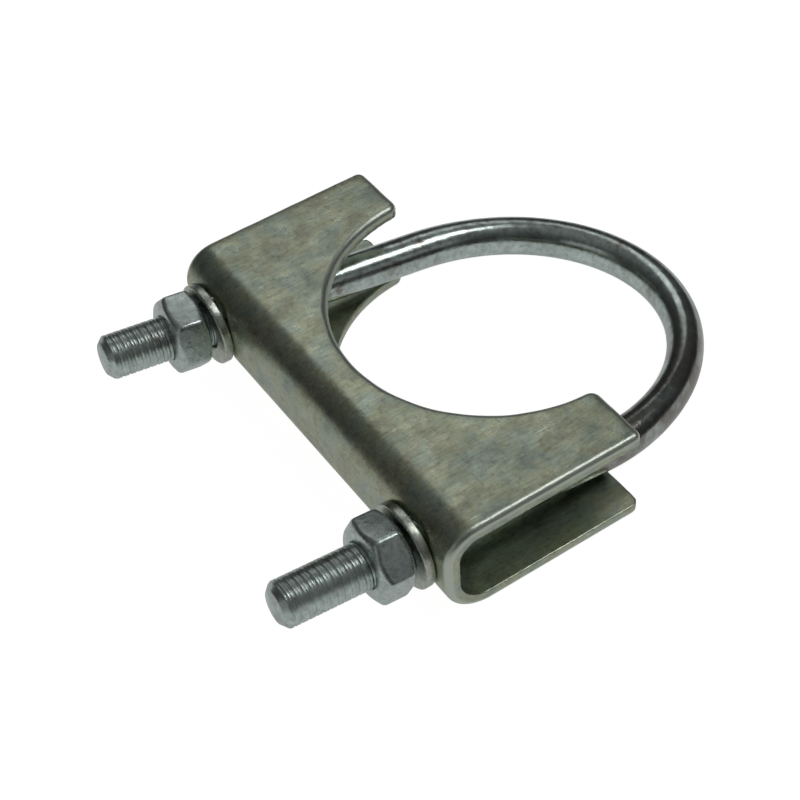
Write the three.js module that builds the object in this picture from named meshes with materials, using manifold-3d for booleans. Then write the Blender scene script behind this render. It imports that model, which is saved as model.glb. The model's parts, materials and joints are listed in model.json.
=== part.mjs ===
// U-bolt clamp for pipes: a round rod bent to a U with two threaded legs, a pressed channel
// saddle with a half-round seat in each flange, and a spring washer and a hex nut on each leg.
// Millimetres. +X across the legs, +Y from the nuts towards the bow, +Z up, saddle lying flat.
import * as THREE from 'three';
import { mergeVertices } from 'three/addons/utils/BufferGeometryUtils.js';
import Module from 'manifold-3d';

const wasm = await Module();
wasm.setup();

// Saddle: a channel of bent sheet, open towards the bow.
const SADDLE_LENGTH = 80;
const SADDLE_HEIGHT = 18.8;
const SADDLE_DEPTH = 37.4;
const SHEET = 2.4;
const UPPER_BEND_RADIUS = 6;
const LOWER_BEND_RADIUS = 8;
const SEAT_RADIUS = 27.5;
const SEAT_FACETS = 47;
const HORN_OUTER_CORNER = 1.5;
const HORN_INNER_CORNER = 1.9;
const LEG_HOLE_RADIUS = 5;
const LEG_HOLE_SPACING = 60.4;

// U-bolt: the bow is half an ellipse and its legs spring a little apart.
const ROD_RADIUS = 3.52;
const BOW_HALF_WIDTH = 28.9;
const BOW_HEIGHT = 34;
const BOW_CENTRE = 37;
const LEG_SPLAY = THREE.MathUtils.degToRad(2);
const LEG_TIP = -22.1;
const THREAD_RADIUS = 3.9;
const THREAD_INNER_END = 10;
const THREAD_CHAMFER = 0.9;
const THREAD_RUN_OUT = 0.8;

// The loose U-bolt leans in the saddle's holes, so that its bow almost touches the ground.
const LEAN_YAW = THREE.MathUtils.degToRad(-3.4);
const LEAN_PITCH = THREE.MathUtils.degToRad(-4.4);
const LEAN_SIDE = -0.5;
const LEAN_LIFT = 0.3;

// Fasteners for an M8 thread.
const WASHER_RADIUS = 7.4;
const WASHER_BORE_RADIUS = 4.4;
const WASHER_THICKNESS = 1.6;
const WASHER_SLIT = 1.4;
const NUT_ACROSS_FLATS = 12.75;
const NUT_HEIGHT = 6.4;
const NUT_FACE_RADIUS = 5.5;
const NUT_CHAMFER_ANGLE = THREE.MathUtils.degToRad(30);
const NUT_BORE_CHAMFER = 0.5;

const REST_GAP = 0.1;
const TURNED_GAP = 0.1;
const ROUND_SIDES = 48;

// Turn of each piece about its own leg, from the position where a flat faces up.
const LEGS = [
  { name: 'left', side: -1, nutTurn: 40.5, slitTurn: 145 },
  { name: 'right', side: 1, nutTurn: 18.7, slitTurn: 120 },
];

// A closed three.js geometry as a solid, and a solid back as a geometry.
function toSolid(geometry) {
  const bare = geometry.index ? geometry.toNonIndexed() : geometry.clone();
  bare.deleteAttribute('normal');
  bare.deleteAttribute('uv');
  const merged = mergeVertices(bare, 1e-4);
  const vertProperties = new Float32Array(merged.attributes.position.array);
  const triVerts = new Uint32Array(merged.index.array);
  return new wasm.Manifold(new wasm.Mesh({ numProp: 3, vertProperties, triVerts }));
}

function toGeometry(solid) {
  const mesh = solid.getMesh();
  const geometry = new THREE.BufferGeometry();
  geometry.setAttribute('position', new THREE.BufferAttribute(mesh.vertProperties, 3));
  geometry.setIndex(new THREE.BufferAttribute(mesh.triVerts, 1));
  geometry.computeVertexNormals();
  return geometry;
}

// A flat outline pushed straight up by a height.
function prism(shape, height, curveSegments = 8) {
  return new THREE.ExtrudeGeometry(shape, { depth: height, bevelEnabled: false, curveSegments });
}

// Side section of the saddle in Y and Z: a channel with round bends, open towards +Y.
function channelSection() {
  const upper = UPPER_BEND_RADIUS;
  const lower = LOWER_BEND_RADIUS;
  const top = SADDLE_HEIGHT;
  const shape = new THREE.Shape();
  shape.moveTo(SADDLE_DEPTH, 0);
  shape.lineTo(SADDLE_DEPTH, SHEET);
  shape.lineTo(lower, SHEET);
  shape.absarc(lower, lower, lower - SHEET, -Math.PI / 2, -Math.PI, true);
  shape.lineTo(SHEET, top - upper);
  shape.absarc(upper, top - upper, upper - SHEET, Math.PI, Math.PI / 2, true);
  shape.lineTo(SADDLE_DEPTH, top - SHEET);
  shape.lineTo(SADDLE_DEPTH, top);
  shape.lineTo(upper, top);
  shape.absarc(upper, top - upper, upper, Math.PI / 2, Math.PI, false);
  shape.lineTo(0, lower);
  shape.absarc(lower, lower, lower, Math.PI, 1.5 * Math.PI, false);
  shape.closePath();
  return shape;
}

// Outline of the saddle from above: two horns with rounded tips beside a half-round seat.
function saddleOutline() {
  const halfLength = SADDLE_LENGTH / 2;
  const outer = HORN_OUTER_CORNER;
  const inner = HORN_INNER_CORNER;
  // Centre of the round between the seat's arc and the horn's tip line.
  const innerY = SADDLE_DEPTH - inner;
  const innerX = Math.sqrt((SEAT_RADIUS + inner) ** 2 - inner ** 2);
  const meet = Math.atan2(innerY - SADDLE_DEPTH, innerX);
  const shape = new THREE.Shape();
  shape.moveTo(-halfLength, 0);
  shape.lineTo(halfLength, 0);
  shape.lineTo(halfLength, SADDLE_DEPTH - outer);
  shape.absarc(halfLength - outer, SADDLE_DEPTH - outer, outer, 0, Math.PI / 2, false);
  shape.lineTo(innerX, SADDLE_DEPTH);
  shape.absarc(innerX, innerY, inner, Math.PI / 2, Math.PI + meet, false);
  for (let i = 1; i < SEAT_FACETS; i += 1) {
    const angle = meet - ((Math.PI + 2 * meet) * i) / SEAT_FACETS;
    shape.lineTo(SEAT_RADIUS * Math.cos(angle), SADDLE_DEPTH + SEAT_RADIUS * Math.sin(angle));
  }
  shape.absarc(-innerX, innerY, inner, -meet, Math.PI / 2, false);
  shape.lineTo(outer - halfLength, SADDLE_DEPTH);
  shape.absarc(outer - halfLength, SADDLE_DEPTH - outer, outer, Math.PI / 2, Math.PI, false);
  shape.closePath();
  return shape;
}

function saddleGeometry() {
  const channel = prism(channelSection(), SADDLE_LENGTH);
  channel.rotateX(Math.PI / 2);
  channel.rotateZ(Math.PI / 2);
  channel.translate(-SADDLE_LENGTH / 2, 0, 0);
  const outline = prism(saddleOutline(), SADDLE_HEIGHT + 2, 5);
  outline.translate(0, 0, -1);
  let solid = toSolid(channel).intersect(toSolid(outline));
  for (const { side } of LEGS) {
    const hole = new THREE.CylinderGeometry(LEG_HOLE_RADIUS, LEG_HOLE_RADIUS, 4 * SHEET, ROUND_SIDES);
    hole.translate((side * LEG_HOLE_SPACING) / 2, 0, SADDLE_HEIGHT / 2);
    solid = solid.subtract(toSolid(hole));
  }
  return toGeometry(solid);
}

// Height along the leg where the splayed leg runs into the ellipse of the bow.
const BOW_START_ANGLE = Math.atan((Math.tan(LEG_SPLAY) * BOW_HEIGHT) / BOW_HALF_WIDTH);
const BOW_START_X = BOW_HALF_WIDTH * Math.cos(BOW_START_ANGLE);
const BOW_START_Y = BOW_CENTRE + BOW_HEIGHT * Math.sin(BOW_START_ANGLE);

function legX(y) {
  return BOW_START_X + (BOW_START_Y - y) * Math.tan(LEG_SPLAY);
}

class BowCurve extends THREE.Curve {
  getPoint(t, target = new THREE.Vector3()) {
    const angle = BOW_START_ANGLE + (Math.PI - 2 * BOW_START_ANGLE) * t;
    return target.set(
      BOW_HALF_WIDTH * Math.cos(angle),
      BOW_CENTRE + BOW_HEIGHT * Math.sin(angle),
      0,
    );
  }
}

// The rod's centre line, from the right leg's tip round the bow to the left leg's tip.
function rodPath() {
  const rodEnd = LEG_TIP + 2 * THREAD_CHAMFER;
  const path = new THREE.CurvePath();
  path.add(new THREE.LineCurve3(
    new THREE.Vector3(legX(rodEnd), rodEnd, 0),
    new THREE.Vector3(BOW_START_X, BOW_START_Y, 0),
  ));
  path.add(new BowCurve());
  path.add(new THREE.LineCurve3(
    new THREE.Vector3(-BOW_START_X, BOW_START_Y, 0),
    new THREE.Vector3(-legX(rodEnd), rodEnd, 0),
  ));
  return path;
}

// Envelope of the thread on one leg, turned about the leg's own axis.
function threadGeometry() {
  const tipRadius = THREAD_RADIUS - THREAD_CHAMFER;
  const profile = [
    new THREE.Vector2(0, LEG_TIP),
    new THREE.Vector2(tipRadius, LEG_TIP),
    new THREE.Vector2(THREAD_RADIUS, LEG_TIP + THREAD_CHAMFER),
    new THREE.Vector2(THREAD_RADIUS, THREAD_INNER_END - THREAD_RUN_OUT),
    new THREE.Vector2(ROD_RADIUS - 0.1, THREAD_INNER_END),
    new THREE.Vector2(0, THREAD_INNER_END),
  ];
  return new THREE.LatheGeometry(profile, ROUND_SIDES);
}

function uBoltGeometry() {
  const section = new THREE.Shape();
  section.absarc(0, 0, ROD_RADIUS, 0, 2 * Math.PI, false);
  const rod = new THREE.ExtrudeGeometry(section, {
    steps: 80,
    curveSegments: 12,
    extrudePath: rodPath(),
    bevelEnabled: false,
  });
  let solid = toSolid(rod);
  for (const { side } of LEGS) {
    const thread = threadGeometry();
    thread.rotateZ(side * LEG_SPLAY);
    thread.translate(side * legX(0), 0, 0);
    solid = solid.add(toSolid(thread));
  }
  return toGeometry(solid);
}

// A split ring about the Y axis, its slit cut slantwise through one side.
function washerGeometry() {
  const half = WASHER_THICKNESS / 2;
  const profile = [
    new THREE.Vector2(WASHER_BORE_RADIUS, -half),
    new THREE.Vector2(WASHER_RADIUS, -half),
    new THREE.Vector2(WASHER_RADIUS, half),
    new THREE.Vector2(WASHER_BORE_RADIUS, half),
    new THREE.Vector2(WASHER_BORE_RADIUS, -half),
  ];
  const ring = new THREE.LatheGeometry(profile, ROUND_SIDES);
  const slit = new THREE.BoxGeometry(WASHER_RADIUS, 3 * WASHER_THICKNESS, WASHER_SLIT);
  slit.rotateX(Math.PI / 9);
  slit.translate((WASHER_BORE_RADIUS + WASHER_RADIUS) / 2 + 0.5, 0, 0);
  return toGeometry(toSolid(ring).subtract(toSolid(slit)));
}

// A hex nut about the Y axis, chamfered at both ends, its inner face at Y = 0.
function nutGeometry() {
  const cornerRadius = NUT_ACROSS_FLATS / Math.sqrt(3);
  const envelopeRadius = cornerRadius + 1;
  const chamferDepth = (envelopeRadius - NUT_FACE_RADIUS) * Math.tan(NUT_CHAMFER_ANGLE);
  const hexagon = new THREE.CylinderGeometry(cornerRadius, cornerRadius, NUT_HEIGHT, 6);
  const envelope = new THREE.LatheGeometry([
    new THREE.Vector2(0, -NUT_HEIGHT / 2),
    new THREE.Vector2(NUT_FACE_RADIUS, -NUT_HEIGHT / 2),
    new THREE.Vector2(envelopeRadius, chamferDepth - NUT_HEIGHT / 2),
    new THREE.Vector2(envelopeRadius, NUT_HEIGHT / 2 - chamferDepth),
    new THREE.Vector2(NUT_FACE_RADIUS, NUT_HEIGHT / 2),
    new THREE.Vector2(0, NUT_HEIGHT / 2),
  ], ROUND_SIDES);
  const boreRadius = THREAD_RADIUS + TURNED_GAP;
  const mouthRadius = boreRadius + NUT_BORE_CHAMFER;
  const reach = NUT_HEIGHT / 2 + 1;
  const bore = new THREE.LatheGeometry([
    new THREE.Vector2(0, -reach),
    new THREE.Vector2(mouthRadius + 1, -reach),
    new THREE.Vector2(boreRadius, NUT_BORE_CHAMFER - NUT_HEIGHT / 2),
    new THREE.Vector2(boreRadius, NUT_HEIGHT / 2 - NUT_BORE_CHAMFER),
    new THREE.Vector2(mouthRadius + 1, reach),
    new THREE.Vector2(0, reach),
  ], ROUND_SIDES);
  const solid = toSolid(hexagon).intersect(toSolid(envelope)).subtract(toSolid(bore));
  const geometry = toGeometry(solid);
  geometry.translate(0, -NUT_HEIGHT / 2, 0);
  return geometry;
}

function steel(colour, roughness) {
  return new THREE.MeshStandardMaterial({ color: colour, roughness, metalness: 1 });
}

function named(name, geometry, material) {
  const mesh = new THREE.Mesh(geometry, material);
  mesh.name = name;
  return mesh;
}

const clamp = new THREE.Group();

clamp.add(named('saddle', saddleGeometry(), steel(0x83867c, 0.45)));

const leaning = new THREE.Group();
leaning.position.set(LEAN_SIDE, 0, SADDLE_HEIGHT / 2 + LEAN_LIFT);
leaning.rotation.set(LEAN_PITCH, 0, LEAN_YAW, 'ZXY');
leaning.updateMatrix();
leaning.add(named('u_bolt', uBoltGeometry(), steel(0x8c9290, 0.25)));
clamp.add(leaning);

for (const { name, side, nutTurn, slitTurn } of LEGS) {
  // The leg's axis, pointing from the bow to the tip, in the saddle's frame.
  const along = new THREE.Vector3(Math.sin(side * LEG_SPLAY), -Math.cos(LEG_SPLAY), 0);
  along.transformDirection(leaning.matrix);
  const foot = new THREE.Vector3(side * legX(0), 0, 0).applyMatrix4(leaning.matrix);
  const pointAtY = (y) => foot.clone().addScaledVector(along, (y - foot.y) / along.y);

  // The washer lies flat on the web.
  const washer = named(`spring_washer_${name}`, washerGeometry(), steel(0xb4b5ac, 0.3));
  washer.position.copy(pointAtY(-REST_GAP - WASHER_THICKNESS / 2));
  washer.rotation.y = THREE.MathUtils.degToRad(slitTurn);
  clamp.add(washer);

  // The nut leans with its leg, so only the rim of its face comes close to the washer.
  const lean = Math.acos(-along.y);
  const nutFace = pointAtY(-REST_GAP - WASHER_THICKNESS - TURNED_GAP - NUT_FACE_RADIUS * Math.sin(lean));
  const nutLeg = new THREE.Group();
  nutLeg.position.copy(nutFace);
  nutLeg.quaternion.setFromUnitVectors(new THREE.Vector3(0, -1, 0), along);
  const nut = named(`hex_nut_${name}`, nutGeometry(), steel(0x9aa3a2, 0.3));
  nut.rotation.y = THREE.MathUtils.degToRad(nutTurn);
  nutLeg.add(nut);
  clamp.add(nutLeg);
}

// The origin is the centre of the space that the clamp takes up on the ground.
const space = new THREE.Box3().setFromObject(clamp, true);
const centre = space.getCenter(new THREE.Vector3());
clamp.position.set(-centre.x, -centre.y, -space.min.z);

const part = new THREE.Group();
part.add(clamp);

export default part;
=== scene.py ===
import json
import math

import bmesh
import bpy
import numpy as np
from mathutils import Matrix, Vector
from mathutils.geometry import delaunay_2d_cdt


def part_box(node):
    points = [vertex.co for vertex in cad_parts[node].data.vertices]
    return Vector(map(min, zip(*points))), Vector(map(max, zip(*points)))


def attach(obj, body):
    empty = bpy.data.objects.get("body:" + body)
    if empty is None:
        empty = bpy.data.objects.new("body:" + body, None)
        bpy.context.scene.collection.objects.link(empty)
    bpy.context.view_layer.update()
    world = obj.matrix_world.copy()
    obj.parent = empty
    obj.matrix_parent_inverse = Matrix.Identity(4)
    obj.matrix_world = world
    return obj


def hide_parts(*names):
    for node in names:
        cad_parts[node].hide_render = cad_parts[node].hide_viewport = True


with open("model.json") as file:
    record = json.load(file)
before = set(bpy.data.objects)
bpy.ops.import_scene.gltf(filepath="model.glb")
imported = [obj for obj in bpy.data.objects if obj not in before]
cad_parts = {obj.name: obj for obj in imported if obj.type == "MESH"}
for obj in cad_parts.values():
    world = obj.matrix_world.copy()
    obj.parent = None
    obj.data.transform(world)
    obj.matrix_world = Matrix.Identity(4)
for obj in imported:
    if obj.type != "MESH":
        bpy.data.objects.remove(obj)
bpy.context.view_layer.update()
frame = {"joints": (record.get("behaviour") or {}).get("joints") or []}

MM = 0.001
TAU = 2 * math.pi

# Saddle: a channel of bent sheet, open towards +Y.
SADDLE_LOW, SADDLE_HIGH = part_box("saddle")
HALF_LENGTH = SADDLE_HIGH.x
SADDLE_DEPTH = SADDLE_HIGH.y - SADDLE_LOW.y
SADDLE_HEIGHT = SADDLE_HIGH.z
SHEET = 2.4 * MM
UPPER_BEND = 6 * MM
LOWER_BEND = 8 * MM
SEAT_RADIUS = 27.5 * MM
HORN_OUTER_CORNER = 1.5 * MM
HORN_INNER_CORNER = 1.9 * MM
LEG_HOLE_RADIUS = 5 * MM
LEG_HOLE_X = 30.2 * MM
SHEET_GRID = 1.3 * MM
GRID_MARGIN = 1.45 * MM
END_POINTS = 70
SEAT_POINTS = 91
HOLE_POINTS = 61

# A sheared edge: rolled over next to the outer face, torn and rough below, a burr on the inner face.
EDGE_ROLL = 1.25 * MM
ROLL_ANGLES = [math.radians(a) for a in (90, 75, 60, 45, 30, 15, 0)]
TORN_TOP = (0.04 * MM, -0.12 * SHEET)
TORN_FOOT = 0.02 * MM
EDGE_BURR = 0.12 * MM
BURR_LAND = 3 * EDGE_BURR
EDGE_TEAR = 0.05 * MM
TEAR_SEED = 7
# Edge lightening kept in the mesh: real burnish on the rolled edge plus a painted highlight there,
# little on the torn part.
TORN_SHINE = 0.15
ROLLED_SHINE = 1.0

# U-bolt, in its own leaning frame: X across the legs, Y towards the bow.
ROD_RADIUS = 3.52 * MM
BOW_HALF_WIDTH = 28.9 * MM
BOW_HEIGHT = 34 * MM
BOW_CENTRE = 37 * MM
BOW_FLATTENING = 0.10
BOW_FLATTENING_STARTS = 0.6
LEG_SPLAY = math.radians(2)
LEG_TIP = -22.1 * MM
LEAN_SIDE = -0.5 * MM
LEAN_LIFT = 0.3 * MM

# M8 thread, rolled, right-hand.
PITCH = 1.25 * MM
THREAD_RADIUS = 3.9 * MM
THREAD_DEPTH = 0.18 * MM
THREAD_CREST = 0.60
THREAD_ROOT = 0.04
CREST_SEAM_DEPTH = 0.45
CREST_SEAM_WIDTH = 0.22
THREAD_INNER_END = 10 * MM
THREAD_RUN_OUT = 1.6 * MM
NUT_THREAD_CLEARANCE = 0.1 * MM
NUT_MOUTH_CLEARANCE = 2.5 * NUT_THREAD_CLEARANCE
NUT_MOUTH_SLOPE = 1.2
TIP_CHAMFER = 1.1 * MM
TIP_SLOPE = 1.05
TIP_DOME = 0.25 * MM
DOME_RINGS = (0.15, 0.4, 0.65, 0.85)
ROWS_PER_PITCH = 18
ROD_SIDES = 72
BOW_STEP = 1.1 * MM

# Nuts and washers.
NUT_ACROSS_FLATS = 12.75 * MM
NUT_HEIGHT = 6.4 * MM
NUT_FACE_RADIUS = 5.45 * MM
NUT_CHAMFER_ANGLE = math.radians(30)
NUT_EDGE_ROUND = 0.65 * MM
NUT_CORNER_ROUND = 0.9 * MM
NUT_SIDES = 288
WASHER_RADIUS = 7.4 * MM
WASHER_BORE_RADIUS = 4.4 * MM
WASHER_THICKNESS = 1.6 * MM
WASHER_EDGE_ROUND = 0.3 * MM
WASHER_SLIT = 1.4 * MM
WASHER_SLANT = math.radians(20)
WASHER_STEPS = 120
LEGS = {
    "left": {"side": -1, "nut_turn": math.radians(40.5), "slit_turn": math.radians(215)},
    "right": {"side": 1, "nut_turn": math.radians(18.7), "slit_turn": math.radians(240)},
}

# Camera: where it stands from the aim point, and its roll.
AIM = Vector((3.8, -9.3, 9.4)) * MM
CAMERA_AZIMUTH = math.radians(59.35)
CAMERA_ELEVATION = math.radians(46.83)
CAMERA_DISTANCE = 299.3 * MM
CAMERA_ROLL = math.radians(4.7)
CAMERA_LENS = 81.5

# Studio. The floor's pairs are the share of light that it scatters and its own glow.
FLOOR_SIZE = 3.0
FLOOR_DROP = 0.0002
FLOOR_TO_METAL = (0.5, 0.39)
FLOOR_TO_CAMERA = (0.35, 0.95)
ROOM_TONES = [
    (0.0, (0.030, 0.027, 0.027)),
    (0.35, (0.045, 0.042, 0.042)),
    (0.65, (0.075, 0.08, 0.08)),
    (1.0, (0.20, 0.20, 0.20)),
]
SOFTBOX_DISTANCE = 0.9
# Each softbox: name, direction from the clamp, width and height, radiance.
SOFTBOXES = [
    ("wide_panel", (-0.60, 0.30, 0.74), (0.42, 0.32), 0.89),
    ("overhead", (0.22, 0.42, 0.88), (0.22, 0.34), 5.0),
    ("side_panel", (0.80, 0.35, 0.47), (0.40, 0.30), 0.20),
    ("front_panel", (0.25, -0.90, 0.36), (0.50, 0.34), 0.30),
]


def grid_mesh(name, rows, cap_ends=False, close_rows=False):
    """A mesh of quads between closed rings of points, capped at both ends or closed on itself."""
    points = np.asarray(rows, float)
    count, width = points.shape[:2]
    verts = points.reshape(-1, 3)
    faces = []
    for i in range(count if close_rows else count - 1):
        a, b = i * width, ((i + 1) % count) * width
        for j in range(width):
            k = (j + 1) % width
            faces.append((a + j, a + k, b + k, b + j))
    verts = list(map(tuple, verts))
    if cap_ends:
        for row, flip in ((0, True), (count - 1, False)):
            middle = len(verts)
            verts.append(tuple(points[row].mean(axis=0)))
            for j in range(width):
                a, b = row * width + j, row * width + (j + 1) % width
                faces.append((middle, b, a) if flip else (middle, a, b))
    return make_object(name, verts, faces)


def make_object(name, verts, faces):
    mesh = bpy.data.meshes.new(name)
    mesh.from_pydata(verts, [], faces)
    mesh.validate()
    mesh.update()
    mesh.polygons.foreach_set("use_smooth", [True] * len(mesh.polygons))
    piece = bpy.data.objects.new(name, mesh)
    bpy.context.scene.collection.objects.link(piece)
    return piece


def face_outwards(piece):
    """Turns every face of a closed mesh outwards."""
    work = bmesh.new()
    work.from_mesh(piece.data)
    bmesh.ops.recalc_face_normals(work, faces=work.faces)
    work.to_mesh(piece.data)
    work.free()


def smoothstep(x):
    x = np.clip(x, 0.0, 1.0)
    return x * x * (3 - 2 * x)


# ---------------------------------------------------------------- saddle

LOWER_MID = LOWER_BEND - SHEET / 2
UPPER_MID = UPPER_BEND - SHEET / 2
BLANK_STOPS = np.cumsum([
    0,
    SADDLE_DEPTH - LOWER_BEND,
    LOWER_MID * math.pi / 2,
    SADDLE_HEIGHT - LOWER_BEND - UPPER_BEND,
    UPPER_MID * math.pi / 2,
    SADDLE_DEPTH - UPPER_BEND,
])
BLANK_LENGTH = BLANK_STOPS[-1]
LEG_HOLE_S = BLANK_STOPS[2] + SADDLE_HEIGHT / 2 - LOWER_BEND


def fold(flat, height):
    """Points of the flat blank, x across and s along it, folded into the channel.
    height is the distance from the middle of the sheet towards its outer face."""
    flat = np.asarray(flat, float)
    x, s = flat[:, 0], flat[:, 1]
    n = np.broadcast_to(height, s.shape)
    lower, lower_bend, web, upper_bend = BLANK_STOPS[1:5]
    y = SADDLE_DEPTH - s
    z = SHEET / 2 - n
    angle = (s - lower) / LOWER_MID
    inside = (s > lower) & (s <= lower_bend)
    y = np.where(inside, LOWER_BEND - (LOWER_MID + n) * np.sin(angle), y)
    z = np.where(inside, LOWER_BEND - (LOWER_MID + n) * np.cos(angle), z)
    inside = (s > lower_bend) & (s <= web)
    y = np.where(inside, SHEET / 2 - n, y)
    z = np.where(inside, LOWER_BEND + s - lower_bend, z)
    angle = (s - web) / UPPER_MID
    inside = (s > web) & (s <= upper_bend)
    y = np.where(inside, UPPER_BEND - (UPPER_MID + n) * np.cos(angle), y)
    z = np.where(inside, SADDLE_HEIGHT - UPPER_BEND + (UPPER_MID + n) * np.sin(angle), z)
    inside = s > upper_bend
    y = np.where(inside, UPPER_BEND + s - upper_bend, y)
    z = np.where(inside, SADDLE_HEIGHT - SHEET / 2 + n, z)
    return np.stack([x, y + SADDLE_LOW.y, z], axis=1)


def arc(centre, radius, start, end, count):
    angles = np.linspace(start, end, count)
    return [(centre[0] + radius * math.cos(a), centre[1] + radius * math.sin(a)) for a in angles]


def horn_line():
    """Half of the blank's outline, from the middle of its right end to the middle of its left
    end round one flange, with s counted from the middle of the blank."""
    tip = BLANK_LENGTH / 2
    outer, inner = HORN_OUTER_CORNER, HORN_INNER_CORNER
    inner_x = math.sqrt((SEAT_RADIUS + inner) ** 2 - inner**2)
    meet = math.atan2(-inner, inner_x)
    corner = (HALF_LENGTH - outer, tip - outer)
    right = [(HALF_LENGTH, s) for s in np.linspace(0, tip - outer, END_POINTS)[:-1]]
    right += arc(corner, outer, 0, math.pi / 2, 9)[:-1]
    right += [(x, tip) for x in np.linspace(corner[0], inner_x, 9)[:-1]]
    right += arc((inner_x, tip - inner), inner, math.pi / 2, math.pi + meet, 10)[:-1]
    seat = arc((0, tip), SEAT_RADIUS, meet, -math.pi - meet, SEAT_POINTS)
    left = [(-x, s) for x, s in reversed(right)]
    return right + seat + left[:-1]


def blank_loops():
    """The blank's outer edge and its two leg holes, anticlockwise and clockwise."""
    half = horn_line()
    other = [(-x, -s) for x, s in half]
    middle = BLANK_LENGTH / 2
    loops = [[(x, s + middle) for x, s in half + other]]
    for side in (-1, 1):
        hole = arc((side * LEG_HOLE_X, LEG_HOLE_S), LEG_HOLE_RADIUS, 0, -TAU, HOLE_POINTS)
        loops.append(hole[:-1])
    return [np.array(loop) for loop in loops]


def inward(loop):
    """Unit vectors from each point of a loop into the sheet."""
    along = np.roll(loop, -1, axis=0) - np.roll(loop, 1, axis=0)
    along /= np.linalg.norm(along, axis=1)[:, None]
    return np.stack([-along[:, 1], along[:, 0]], axis=1)


def in_blank(points, margin=0.0):
    """True for the points of the flat blank that are inside it, at least margin from its edges."""
    x, s = points[:, 0], points[:, 1]
    inside = (abs(x) < HALF_LENGTH - margin) & (s > margin) & (s < BLANK_LENGTH - margin)
    for tip in (0, BLANK_LENGTH):
        inside &= np.hypot(x, s - tip) > SEAT_RADIUS + margin
    for side in (-1, 1):
        inside &= np.hypot(x - side * LEG_HOLE_X, s - LEG_HOLE_S) > LEG_HOLE_RADIUS + margin
    return inside


def grid_points():
    """Points over the blank, closer together along the bends."""
    lower, lower_bend, web, upper_bend = BLANK_STOPS[1:5]
    fine = SHEET_GRID / 3
    rows = [np.arange(SHEET_GRID, lower, SHEET_GRID)]
    rows.append(np.linspace(lower, lower_bend, round((lower_bend - lower) / fine) + 1))
    rows.append(np.linspace(lower_bend, web, 6)[1:-1])
    rows.append(np.linspace(web, upper_bend, round((upper_bend - web) / fine) + 1))
    upper_flange = BLANK_LENGTH - upper_bend
    rows.append(BLANK_LENGTH - np.arange(SHEET_GRID, upper_flange, SHEET_GRID)[::-1])
    count = round(2 * HALF_LENGTH / SHEET_GRID)
    columns = np.linspace(-HALF_LENGTH, HALF_LENGTH, count + 1)[1:-1]
    x, s = np.meshgrid(columns, np.concatenate(rows))
    points = np.stack([x.ravel(), s.ravel()], axis=1)
    return points[in_blank(points, GRID_MARGIN)]


def triangulate(loops, extra):
    """Triangles over the blank between its loops, as vertex numbers into loops then extra."""
    points = np.concatenate(loops + [extra])
    edges = []
    start = 0
    for loop in loops:
        edges += [(start + i, start + (i + 1) % len(loop)) for i in range(len(loop))]
        start += len(loop)
    scaled = [Vector(p) for p in points / MM]
    verts, _, faces, origin, _, _ = delaunay_2d_cdt(scaled, edges, [], 0, 1e-6)
    verts = np.array([tuple(v) for v in verts]) * MM
    number = [ids[0] for ids in origin]
    triangles = []
    for face in faces:
        centre = verts[list(face)].mean(axis=0)
        if in_blank(centre[None, :])[0] and not in_notch(centre, loops[0]):
            triangles.append(tuple(number[i] for i in face))
    return points, triangles


def in_notch(point, outline):
    """True for a point between the outline and its hull at a horn's rounded corner."""
    index = int(np.argmin(((outline - point) ** 2).sum(axis=1)))
    return float(np.dot(point - outline[index], inward(outline)[index])) < 0


def edge_waves(loop):
    """How much the roll-over of a sheared edge swells and shrinks along it, as a share."""
    x, s = loop[:, 0] / MM, loop[:, 1] / MM
    swell = np.sin(0.9 * x + 1.1 * np.sin(0.35 * s))
    ripple = np.sin(1.3 * s + 0.23 * x)
    return 0.10 * swell + 0.03 * ripple


def build_saddle():
    """The sheet with sheared edges: rolled over on its outer face, a small burr inside."""
    loops = blank_loops()
    extra = grid_points()
    half = SHEET / 2
    # Each step down the edge: how far into the sheet it is, and its height above the middle.
    section = [
        (EDGE_ROLL * (1 - math.cos(a)), half - EDGE_ROLL * (1 - math.sin(a))) for a in ROLL_ANGLES
    ]
    section += [TORN_TOP, (TORN_FOOT, EDGE_BURR - half), (EDGE_BURR, -half), (BURR_LAND, -half)]
    verts, faces, burnish_and_highlight = [], [], []

    def add(points, shine=0.0):
        verts.extend(map(tuple, points))
        burnish_and_highlight.extend([shine] * len(points))
        return len(verts) - len(points)

    for inset, height, flip in ((section[0][0], half, False), (section[-1][0], -half, True)):
        inset_loops = [loop + inset * inward(loop) for loop in loops]
        points, triangles = triangulate(inset_loops, extra)
        start = add(fold(points, height))
        for a, b, c in triangles:
            corners = (a, c, b) if flip else (a, b, c)
            faces.append(tuple(start + corner for corner in corners))
        if not flip:
            outer_start = start
    inner_start = start
    loop_start = 0
    tear = np.random.default_rng(TEAR_SEED)
    for loop in loops:
        count = len(loop)
        rings = [outer_start + loop_start]
        for inset, height in section[1:-1]:
            torn = height < 0
            shine = TORN_SHINE if torn else ROLLED_SHINE
            rough = tear.normal(0.0, EDGE_TEAR, count) if torn else edge_waves(loop) * inset
            depth = np.clip(inset + rough, 0.0, None)[:, None] * inward(loop)
            rings.append(add(fold(loop + depth, height), shine))
        rings.append(inner_start + loop_start)
        for a, b in zip(rings, rings[1:]):
            for i in range(count):
                k = (i + 1) % count
                faces.append((a + i, b + i, b + k, a + k))
        loop_start += count
    piece = make_object("saddle_sheet", verts, faces)
    # This layer carries the edge lightening: real burnish plus a painted highlight.
    layer = piece.data.attributes.new("burnish_and_highlight", "FLOAT", "POINT")
    layer.data.foreach_set("value", burnish_and_highlight)
    face_outwards(piece)
    return piece


# ---------------------------------------------------------------- threads


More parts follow.
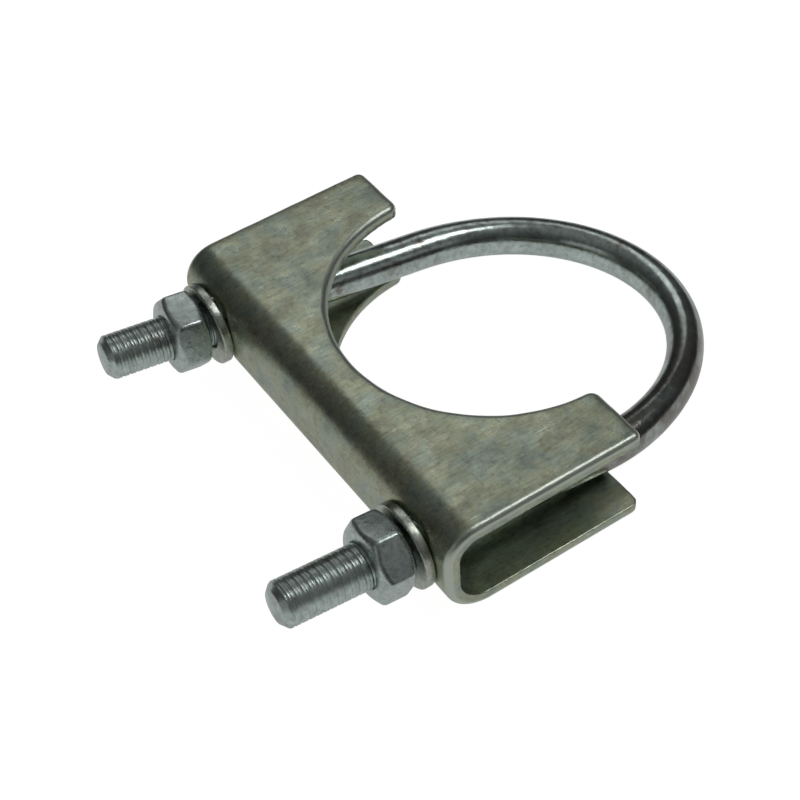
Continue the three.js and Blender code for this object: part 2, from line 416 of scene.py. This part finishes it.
def thread_height(phase):
    """Height of the thread above its root, 0 to 1, at a place in its pitch from 0 to 1.
    The rolled crest keeps a fine seam where the metal has closed up."""
    away = np.abs((phase + 0.5) % 1.0 - 0.5)
    flank = (0.5 - away - THREAD_ROOT / 2) / (0.5 - THREAD_ROOT / 2 - THREAD_CREST / 2)
    rise = np.clip(flank, 0.0, 1.0)
    seam = np.clip(1 - 2 * away / CREST_SEAM_WIDTH, 0.0, 1.0)
    return rise - CREST_SEAM_DEPTH * seam


# ---------------------------------------------------------------- U-bolt

slide = next(j for j in frame["joints"] if j["name"] == "u_bolt_slide")
BOLT_Y = -Vector(slide["axis"]).normalized()
BOLT_X = BOLT_Y.cross(Vector((0, 0, 1))).normalized()
BOLT_Z = BOLT_X.cross(BOLT_Y)
BOLT_ORIGIN = Vector((LEAN_SIDE, SADDLE_LOW.y, SADDLE_HEIGHT / 2 + LEAN_LIFT))
BOW_START = math.atan(math.tan(LEG_SPLAY) * BOW_HEIGHT / BOW_HALF_WIDTH)
BOW_START_X = BOW_HALF_WIDTH * math.cos(BOW_START)
BOW_START_Y = BOW_CENTRE + BOW_HEIGHT * math.sin(BOW_START)


def leg_x(y):
    return BOW_START_X + (BOW_START_Y - y) * math.tan(LEG_SPLAY)


def leg_rows(side):
    """Centres along a leg from its tip to the bow, with the distance along the leg from y = 0."""
    scale = 1 / math.cos(LEG_SPLAY)
    tip = LEG_TIP * scale
    chamfer = tip + TIP_CHAMFER
    run_out = (THREAD_INNER_END + THREAD_RUN_OUT) * scale
    stations = list(tip + TIP_CHAMFER * np.linspace(0, 1, 9)[:-1])
    stations += list(np.arange(chamfer, run_out, PITCH / ROWS_PER_PITCH))
    stations += list(np.linspace(run_out, BOW_START_Y * scale, 20)[1:])
    ends = np.array(stations)
    centres = np.zeros((len(ends), 2))
    centres[:, 0] = side * (leg_x(0) - ends * math.sin(LEG_SPLAY))
    centres[:, 1] = ends * math.cos(LEG_SPLAY)
    outward = np.tile([side * math.cos(LEG_SPLAY), math.sin(LEG_SPLAY)], (len(ends), 1))
    return centres, outward, ends


def leg_radius(ends, angle, side):
    """Radius of a leg at distances along it and angles round it, thread and chamfer included.
    angle runs from the outward side towards the frame's +Z on either leg."""
    scale = 1 / math.cos(LEG_SPLAY)
    tip = LEG_TIP * scale
    along = ends[:, None]
    turned = side * angle[None, :]
    phase = along / PITCH + turned / TAU
    threaded = THREAD_RADIUS - THREAD_DEPTH * (1 - thread_height(phase))
    fade = smoothstep((THREAD_INNER_END * scale - along) / THREAD_RUN_OUT + 0.5)
    radius = ROD_RADIUS + (threaded - ROD_RADIUS) * fade
    cone = THREAD_RADIUS - TIP_CHAMFER + (along - tip) * TIP_SLOPE
    return np.minimum(radius, np.maximum(cone, THREAD_RADIUS - TIP_CHAMFER))


def build_bolt():
    """The rod swept from the right leg's tip round the bow to the left leg's tip."""
    angle = np.linspace(0, TAU, ROD_SIDES, endpoint=False)
    right_centres, right_outward, right_ends = leg_rows(1)
    left_centres, left_outward, left_ends = leg_rows(-1)
    centres = list(right_centres)
    outward = list(right_outward)
    radii = list(leg_radius(right_ends, angle, 1))
    for t in bow_angles():
        centres.append((BOW_HALF_WIDTH * math.cos(t), BOW_CENTRE + BOW_HEIGHT * math.sin(t)))
        normal = Vector((BOW_HEIGHT * math.cos(t), BOW_HALF_WIDTH * math.sin(t))).normalized()
        outward.append(tuple(normal))
        flat = BOW_FLATTENING * smoothstep(math.sin(t) / math.sin(BOW_FLATTENING_STARTS))
        across, upwards = np.cos(angle) / (1 - flat), np.sin(angle) / (1 + flat / 3)
        radii.append(ROD_RADIUS / np.hypot(across, upwards))
    centres += list(left_centres[::-1])
    outward += list(left_outward[::-1])
    radii += list(leg_radius(left_ends, angle, -1)[::-1])
    rows = []
    axes = (np.array(BOLT_X), np.array(BOLT_Y), np.array(BOLT_Z))
    for centre, out, radius in zip(centres, outward, radii):
        middle = np.array(BOLT_ORIGIN) + centre[0] * axes[0] + centre[1] * axes[1]
        out_world = out[0] * axes[0] + out[1] * axes[1]
        ring = radius * np.cos(angle)
        rise = radius * np.sin(angle)
        rows.append(middle + ring[:, None] * out_world + rise[:, None] * axes[2])
    rows = dome(rows) + rows + dome(rows[::-1])[::-1]
    piece = grid_mesh("u_bolt_rod", rows, cap_ends=True)
    face_outwards(piece)
    return piece


def bow_angles():
    """Angles round the bow's ellipse between the two legs, without its ends."""
    length = math.pi * (BOW_HALF_WIDTH + BOW_HEIGHT) / 2
    count = round(length / BOW_STEP)
    return np.linspace(BOW_START, math.pi - BOW_START, count + 1)[1:-1]


def dome(rows):
    """Rings that close a leg's tip in a low dome, the first ring nearest the middle."""
    rim = rows[0]
    middle = rim.mean(axis=0)
    away = middle - rows[6].mean(axis=0)
    away /= np.linalg.norm(away)
    rings = []
    for share in DOME_RINGS:
        rings.append(middle + (rim - middle) * share + away * TIP_DOME * (1 - share**2))
    return rings


# ---------------------------------------------------------------- nuts


def leg_frame(name):
    """Origin on the nut's inner face and axes with Z along the leg towards its tip."""
    joint = next(j for j in frame["joints"] if j["name"] == f"nut_{name}_turn")
    along = Vector(joint["axis"]).normalized()
    up = (BOLT_Z - along * BOLT_Z.dot(along)).normalized()
    return Vector(joint["pos_m"]), along.cross(up), up, along


def rounded_line(points, radius, steps=3):
    """A line of points with its inner corners rounded, always the same number of points."""
    points = [np.asarray(p, float) for p in points]
    result = [points[0]]
    for before, corner, after in zip(points, points[1:], points[2:]):
        a = before - corner
        b = after - corner
        reach = min(radius, 0.45 * np.linalg.norm(a), 0.45 * np.linalg.norm(b))
        start = corner + a / np.linalg.norm(a) * reach
        end = corner + b / np.linalg.norm(b) * reach
        for i in range(steps + 1):
            t = i / steps
            result.append((1 - t) ** 2 * start + 2 * t * (1 - t) * corner + t * t * end)
    result.append(points[-1])
    return result


def hexagon_radius(angle):
    """Distance from a nut's axis to its side, corners rounded."""
    half = NUT_ACROSS_FLATS / 2
    corner = half / math.cos(math.pi / 6)
    away = abs((angle + math.pi / 6) % (math.pi / 3) - math.pi / 6)
    centre = corner - NUT_CORNER_ROUND / math.cos(math.pi / 6)
    if math.tan(away) * half <= centre * math.sin(math.pi / 6):
        return half / math.cos(away)
    from_corner = math.pi / 6 - away
    reach = NUT_CORNER_ROUND**2 - (centre * math.sin(from_corner)) ** 2
    return centre * math.cos(from_corner) + math.sqrt(reach)


def build_nut(name, turn, side):
    """A hex nut with both faces chamfered and a thread that meshes with its leg's."""
    origin, across, up, along = leg_frame(name)
    bolt_foot = BOLT_ORIGIN + BOLT_X * side * leg_x(0)
    start = (origin - bolt_foot).dot(-along)
    rows = []
    thread_rows = round(NUT_HEIGHT / PITCH * ROWS_PER_PITCH)
    depths = np.linspace(0, NUT_HEIGHT, thread_rows + 1)
    crest = THREAD_RADIUS - THREAD_DEPTH + NUT_THREAD_CLEARANCE
    mouth = THREAD_RADIUS + NUT_MOUTH_CLEARANCE
    slope = math.tan(NUT_CHAMFER_ANGLE)
    for j in range(NUT_SIDES):
        angle = TAU * j / NUT_SIDES
        side_radius = hexagon_radius(angle - turn)
        drop = (side_radius - NUT_FACE_RADIUS) * slope
        outline = rounded_line([
            (mouth, 0),
            (NUT_FACE_RADIUS, 0),
            (side_radius, drop),
            (side_radius, NUT_HEIGHT - drop),
            (NUT_FACE_RADIUS, NUT_HEIGHT),
            (mouth, NUT_HEIGHT),
        ], NUT_EDGE_ROUND)
        # The bolt's own angle: from its outward side towards +Z.
        direction = across * math.cos(angle) + up * math.sin(angle)
        bolt_angle = math.atan2(direction.dot(BOLT_Z), side * direction.dot(BOLT_X))
        distance = start - depths
        phase = distance / PITCH + side * bolt_angle / TAU
        groove = THREAD_DEPTH * thread_height(phase) + crest
        from_face = np.minimum(depths, NUT_HEIGHT - depths)
        wall = np.maximum(groove, mouth - from_face * NUT_MOUTH_SLOPE)
        inside = list(zip(wall[::-1], depths[::-1]))[1:-1]
        ring = []
        for radius, depth in outline + inside:
            ring.append(tuple(origin + direction * radius + along * depth))
        rows.append(ring)
    piece = grid_mesh(f"nut_{name}", rows, close_rows=True)
    face_outwards(piece)
    return piece


# ---------------------------------------------------------------- washers


def build_washer(name, slit_turn):
    """A split spring washer, closed flat, its two ends cut slantwise."""
    low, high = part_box(f"spring_washer_{name}")
    middle = (low + high) / 2
    half = WASHER_THICKNESS / 2
    section = rounded_line([
        (WASHER_BORE_RADIUS, 0),
        (WASHER_BORE_RADIUS, half),
        (WASHER_RADIUS, half),
        (WASHER_RADIUS, -half),
        (WASHER_BORE_RADIUS, -half),
        (WASHER_BORE_RADIUS, 0),
    ], WASHER_EDGE_ROUND)[:-1]
    rows = []
    for i in range(WASHER_STEPS + 1):
        share = i / WASHER_STEPS
        ring = []
        for radius, height in section:
            gap = WASHER_SLIT / 2 / radius
            slant = height * math.tan(WASHER_SLANT) / radius
            angle = slit_turn + gap + slant + (TAU - 2 * gap) * share
            offset = (radius * math.cos(angle), height, radius * math.sin(angle))
            ring.append((middle.x + offset[0], middle.y + offset[1], middle.z + offset[2]))
        rows.append(ring)
    piece = grid_mesh(f"washer_{name}", rows, cap_ends=True)
    face_outwards(piece)
    return piece


# ---------------------------------------------------------------- materials


class Nodes:
    """Short names for adding and linking a material's nodes."""

    def __init__(self, tree):
        self.tree = tree

    def add(self, kind, **values):
        node = self.tree.nodes.new(kind)
        for key, value in values.items():
            if hasattr(node, key):
                setattr(node, key, value)
            else:
                node.inputs[key.replace("_", " ")].default_value = value
        return node

    def link(self, a, b):
        self.tree.links.new(a, b)


def ramp(nodes, source, stops):
    node = nodes.add("ShaderNodeValToRGB")
    elements = node.color_ramp.elements
    while len(elements) < len(stops):
        elements.new(0.5)
    for element, (place, colour) in zip(elements, stops):
        element.position = place
        element.color = (*colour, 1)
    nodes.link(source, node.inputs["Fac"])
    return node.outputs["Color"]


def noise(nodes, coords, scale, detail=4, stretch=(1, 1, 1), roughness=0.5):
    mapping = nodes.add("ShaderNodeMapping")
    mapping.inputs["Scale"].default_value = stretch
    nodes.link(coords, mapping.inputs["Vector"])
    node = nodes.add("ShaderNodeTexNoise", Scale=scale, Detail=detail, Roughness=roughness)
    nodes.link(mapping.outputs["Vector"], node.inputs["Vector"])
    return node.outputs["Fac"]


def spread(nodes, source, low, high, new_low, new_high):
    node = nodes.add("ShaderNodeMapRange")
    limits = {"From Min": low, "From Max": high, "To Min": new_low, "To Max": new_high}
    for key, value in limits.items():
        node.inputs[key].default_value = value
    nodes.link(source, node.inputs["Value"])
    return node.outputs["Result"]


def mix(nodes, factor, a, b, blend="MIX"):
    node = nodes.add("ShaderNodeMix", data_type="RGBA", blend_type=blend)
    for value, socket in ((factor, node.inputs[0]), (a, node.inputs[6]), (b, node.inputs[7])):
        if hasattr(value, "links"):
            nodes.link(value, socket)
        elif isinstance(value, tuple):
            socket.default_value = (*value, 1)
        else:
            socket.default_value = value
    return node.outputs[2]


def multiply(nodes, a, b):
    node = nodes.add("ShaderNodeMath", operation="MULTIPLY")
    nodes.link(a, node.inputs[0])
    nodes.link(b, node.inputs[1])
    return node.outputs[0]


def bump(nodes, source, strength, distance, previous=None):
    node = nodes.add("ShaderNodeBump", Strength=strength, Distance=distance)
    nodes.link(source, node.inputs["Height"])
    if previous is not None:
        nodes.link(previous, node.inputs["Normal"])
    return node.outputs["Normal"]


LINE_SHADES = (0.80, 1.14)
SPECK_SHADES = (0.72, 1.0)
SPECK_BUMP = (0.30, 0.00006)
LINE_BUMP_DISTANCE = 0.00004
BLOTCH_BUMP = (0.25, 0.0004)
NICK_TINT = (0.85, 0.90, 0.80)
# Lighter colour of the sheared edges: real burnish plus a painted highlight along the roll-over.
EDGE_BURNISH_AND_HIGHLIGHT_TINT = (0.54, 0.59, 0.51)
EDGE_ROUGHNESS = 0.36


def zinc(name, tints, roughness, mottle, grain, grain_scale, wear,
         nicks=0.0, thread_matt=0.0, edges=False, painted_shade=None):
    """Zinc plate: blotchy tints and gloss, drawn lines, dark specks and a few bright nicks.
    mottle and grain_scale are how fine the blotches and the lines are, grain stretches the lines,
    and wear is how deep they are. edges takes the saddle's edge lightening and gloss from its mesh:
    real burnish on the sheared edges, plus a painted highlight along their roll-over.
    thread_matt is how much rougher the metal gets beyond the web, where the legs are threaded.
    The last argument is painted shade on the bow, a dark brown over its right part that stands in
    for its dark reflection: where it begins and is full along X, and its colour."""
    material = bpy.data.materials.new(name)
    material.use_nodes = True
    nodes = Nodes(material.node_tree)
    shader = material.node_tree.nodes["Principled BSDF"]
    shader.inputs["Metallic"].default_value = 1.0
    coords = nodes.add("ShaderNodeTexCoord").outputs["Object"]
    blotches = noise(nodes, coords, mottle, 8, roughness=0.68)
    colour = ramp(nodes, blotches, tints)
    lines = noise(nodes, coords, grain_scale, 6, grain, 0.7)
    colour = mix(nodes, 1.0, colour, spread(nodes, lines, 0.35, 0.65, *LINE_SHADES), "MULTIPLY")
    specks = noise(nodes, coords, mottle * 6, 6, roughness=0.75)
    colour = mix(nodes, 1.0, colour, spread(nodes, specks, 0.34, 0.50, *SPECK_SHADES), "MULTIPLY")
    patch = noise(nodes, coords, mottle * 1.7, 4)
    rough = spread(nodes, patch, 0.35, 0.65, *roughness)
    if nicks:
        streaks = noise(nodes, coords, grain_scale * 0.5, 3, grain, 0.6)
        nick = spread(nodes, streaks, 0.71, 0.75, 0.0, nicks)
        colour = mix(nodes, nick, colour, NICK_TINT)
    # Lightens the saddle's sheared edges: partly real burnish, partly a painted highlight.
    if edges:
        shine = nodes.add("ShaderNodeAttribute", attribute_name="burnish_and_highlight").outputs["Fac"]
        colour = mix(nodes, shine, colour, EDGE_BURNISH_AND_HIGHLIGHT_TINT)
        rough = mix(nodes, shine, rough, (EDGE_ROUGHNESS,) * 3)
    if painted_shade or thread_matt:
        place = nodes.add("ShaderNodeSeparateXYZ")
        nodes.link(coords, place.inputs[0])
    # Painted shade: darkens the right part of the bow towards dark brown, standing in for its dark
    # reflection.
    if painted_shade:
        begins, full, shade_colour = painted_shade
        sideways = spread(nodes, place.outputs["X"], begins, full, 0.0, 1.0)
        on_bow = spread(nodes, place.outputs["Y"], -10 * MM, 10 * MM, 0.0, 0.8)
        patchy = spread(nodes, patch, 0.36, 0.54, 0.35, 1.0)
        share = multiply(nodes, multiply(nodes, sideways, on_bow), patchy)
        colour = mix(nodes, share, colour, shade_colour)
    if thread_matt:
        matt = spread(nodes, place.outputs["Y"], SADDLE_LOW.y, SADDLE_LOW.y - MM, 0.0, thread_matt)
        total = nodes.add("ShaderNodeMath", operation="ADD")
        nodes.link(rough, total.inputs[0])
        nodes.link(matt, total.inputs[1])
        rough = total.outputs[0]
    nodes.link(colour, shader.inputs["Base Color"])
    nodes.link(rough, shader.inputs["Roughness"])
    normal = bump(nodes, lines, wear, LINE_BUMP_DISTANCE)
    normal = bump(nodes, specks, *SPECK_BUMP, normal)
    normal = bump(nodes, blotches, *BLOTCH_BUMP, normal)
    nodes.link(normal, shader.inputs["Normal"])
    return material


SHEET_TINTS = [
    (0.34, (0.34, 0.40, 0.335)),
    (0.44, (0.41, 0.47, 0.385)),
    (0.52, (0.46, 0.49, 0.35)),
    (0.58, (0.39, 0.40, 0.30)),
    (0.66, (0.43, 0.50, 0.40)),
]
ROD_TINTS = [
    (0.33, (0.27, 0.25, 0.23)),
    (0.41, (0.46, 0.52, 0.49)),
    (0.55, (0.54, 0.63, 0.60)),
    (0.66, (0.59, 0.67, 0.63)),
]
# Painted shade on the bow: where it begins and is full along X, and its dark brown colour.
ROD_PAINTED_SHADE = (6 * MM, 24 * MM, (0.20, 0.17, 0.15))
NUT_TINTS = [
    (0.30, (0.50, 0.58, 0.56)),
    (0.70, (0.58, 0.66, 0.63)),
]
WASHER_TINTS = [
    (0.30, (0.46, 0.50, 0.44)),
    (0.70, (0.58, 0.61, 0.54)),
]

SHEET_STEEL = zinc(
    "zinc_sheet", SHEET_TINTS, roughness=(0.27, 0.40), mottle=150, grain=(3, 0.4, 3),
    grain_scale=900, wear=0.5, nicks=0.7, edges=True,
)
ROD_STEEL = zinc(
    "zinc_rod", ROD_TINTS, roughness=(0.12, 0.26), mottle=160, grain=(1, 1, 1),
    grain_scale=700, wear=0.35, thread_matt=0.12, painted_shade=ROD_PAINTED_SHADE,
)
NUT_STEEL = zinc(
    "zinc_nut", NUT_TINTS, roughness=(0.22, 0.36), mottle=260, grain=(1, 1, 1),
    grain_scale=1100, wear=0.35,
)
WASHER_STEEL = zinc(
    "zinc_washer", WASHER_TINTS, roughness=(0.24, 0.36), mottle=300, grain=(1, 1, 1),
    grain_scale=1300, wear=0.4,
)


def finish_piece(piece, material, body, node):
    piece.data.materials.append(material)
    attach(piece, body)
    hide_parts(node)


finish_piece(build_saddle(), SHEET_STEEL, "saddle", "saddle")
finish_piece(build_bolt(), ROD_STEEL, "u_bolt", "u_bolt")
for leg_name, leg in LEGS.items():
    nut_piece = build_nut(leg_name, leg["nut_turn"], leg["side"])
    finish_piece(nut_piece, NUT_STEEL, f"nut_{leg_name}", f"hex_nut_{leg_name}")
    ring_piece = build_washer(leg_name, leg["slit_turn"])
    finish_piece(
        ring_piece, WASHER_STEEL, f"washer_{leg_name}", f"spring_washer_{leg_name}"
    )


# ---------------------------------------------------------------- studio


def build_floor():
    """A white floor. The metal sees it greyer than the camera does, like a table in a dim room."""
    mesh = bpy.data.meshes.new("floor")
    signs = [(-1, -1), (1, -1), (1, 1), (-1, 1)]
    corners = [(x * FLOOR_SIZE, y * FLOOR_SIZE, 0) for x, y in signs]
    mesh.from_pydata(corners, [], [(0, 1, 2, 3)])
    floor = bpy.data.objects.new("floor", mesh)
    floor.location.z = -FLOOR_DROP
    bpy.context.scene.collection.objects.link(floor)
    material = bpy.data.materials.new("pale_floor")
    material.use_nodes = True
    nodes = Nodes(material.node_tree)
    material.node_tree.nodes.clear()
    path = nodes.add("ShaderNodeLightPath")
    both = nodes.add("ShaderNodeMixShader")
    nodes.link(path.outputs["Is Camera Ray"], both.inputs[0])
    for index, (albedo, glow) in ((1, FLOOR_TO_METAL), (2, FLOOR_TO_CAMERA)):
        paint = nodes.add("ShaderNodeBsdfDiffuse")
        paint.inputs["Color"].default_value = (albedo, albedo, albedo, 1)
        light = nodes.add("ShaderNodeEmission", Strength=glow)
        total = nodes.add("ShaderNodeAddShader")
        nodes.link(paint.outputs[0], total.inputs[0])
        nodes.link(light.outputs[0], total.inputs[1])
        nodes.link(total.outputs[0], both.inputs[index])
    output = nodes.add("ShaderNodeOutputMaterial")
    nodes.link(both.outputs[0], output.inputs["Surface"])
    mesh.materials.append(material)


def softbox(name, direction, size, radiance):
    """A soft rectangular light aimed at the clamp, as bright as its radiance says."""
    data = bpy.data.lights.new(name, "AREA")
    data.shape = "RECTANGLE"
    data.size, data.size_y = size
    data.energy = radiance * math.pi * size[0] * size[1]
    lamp = bpy.data.objects.new(name, data)
    back = Vector(direction).normalized()
    lamp.location = AIM + back * SOFTBOX_DISTANCE
    lamp.rotation_euler = (-back).to_track_quat("-Z", "Y").to_euler()
    lamp.visible_camera = False
    bpy.context.scene.collection.objects.link(lamp)


def build_world():
    """Dim at the horizon and brighter overhead, as the metal sees it; plain white behind."""
    world = bpy.data.worlds.new("studio")
    bpy.context.scene.world = world
    world.use_nodes = True
    nodes = Nodes(world.node_tree)
    world.node_tree.nodes.clear()
    coords = nodes.add("ShaderNodeTexCoord").outputs["Generated"]
    split = nodes.add("ShaderNodeSeparateXYZ")
    nodes.link(coords, split.inputs[0])
    height = spread(nodes, split.outputs["Z"], -0.1, 1.0, 0.0, 1.0)
    room = ramp(nodes, height, ROOM_TONES)
    room_light = nodes.add("ShaderNodeBackground")
    nodes.link(room, room_light.inputs["Color"])
    white = nodes.add("ShaderNodeBackground")
    white.inputs["Color"].default_value = (1, 1, 1, 1)
    path = nodes.add("ShaderNodeLightPath")
    both = nodes.add("ShaderNodeMixShader")
    nodes.link(path.outputs["Is Camera Ray"], both.inputs[0])
    nodes.link(room_light.outputs[0], both.inputs[1])
    nodes.link(white.outputs[0], both.inputs[2])
    output = nodes.add("ShaderNodeOutputWorld")
    nodes.link(both.outputs[0], output.inputs["Surface"])


def build_camera():
    data = bpy.data.cameras.new("camera")
    data.sensor_width = 36
    data.lens = CAMERA_LENS
    data.clip_start = 0.01
    data.clip_end = 20
    camera = bpy.data.objects.new("camera", data)
    a, e = CAMERA_AZIMUTH, CAMERA_ELEVATION
    back = Vector((math.sin(a) * math.cos(e), -math.cos(a) * math.cos(e), math.sin(e)))
    turn = (-back).to_track_quat("-Z", "Y").to_matrix() @ Matrix.Rotation(-CAMERA_ROLL, 3, "Z")
    camera.matrix_world = Matrix.Translation(AIM + back * CAMERA_DISTANCE) @ turn.to_4x4()
    bpy.context.scene.collection.objects.link(camera)
    bpy.context.scene.camera = camera


build_floor()
build_world()
build_camera()
for softbox_values in SOFTBOXES:
    softbox(*softbox_values)
bpy.context.scene.view_settings.view_transform = "Standard"

bpy.context.view_layer.update()
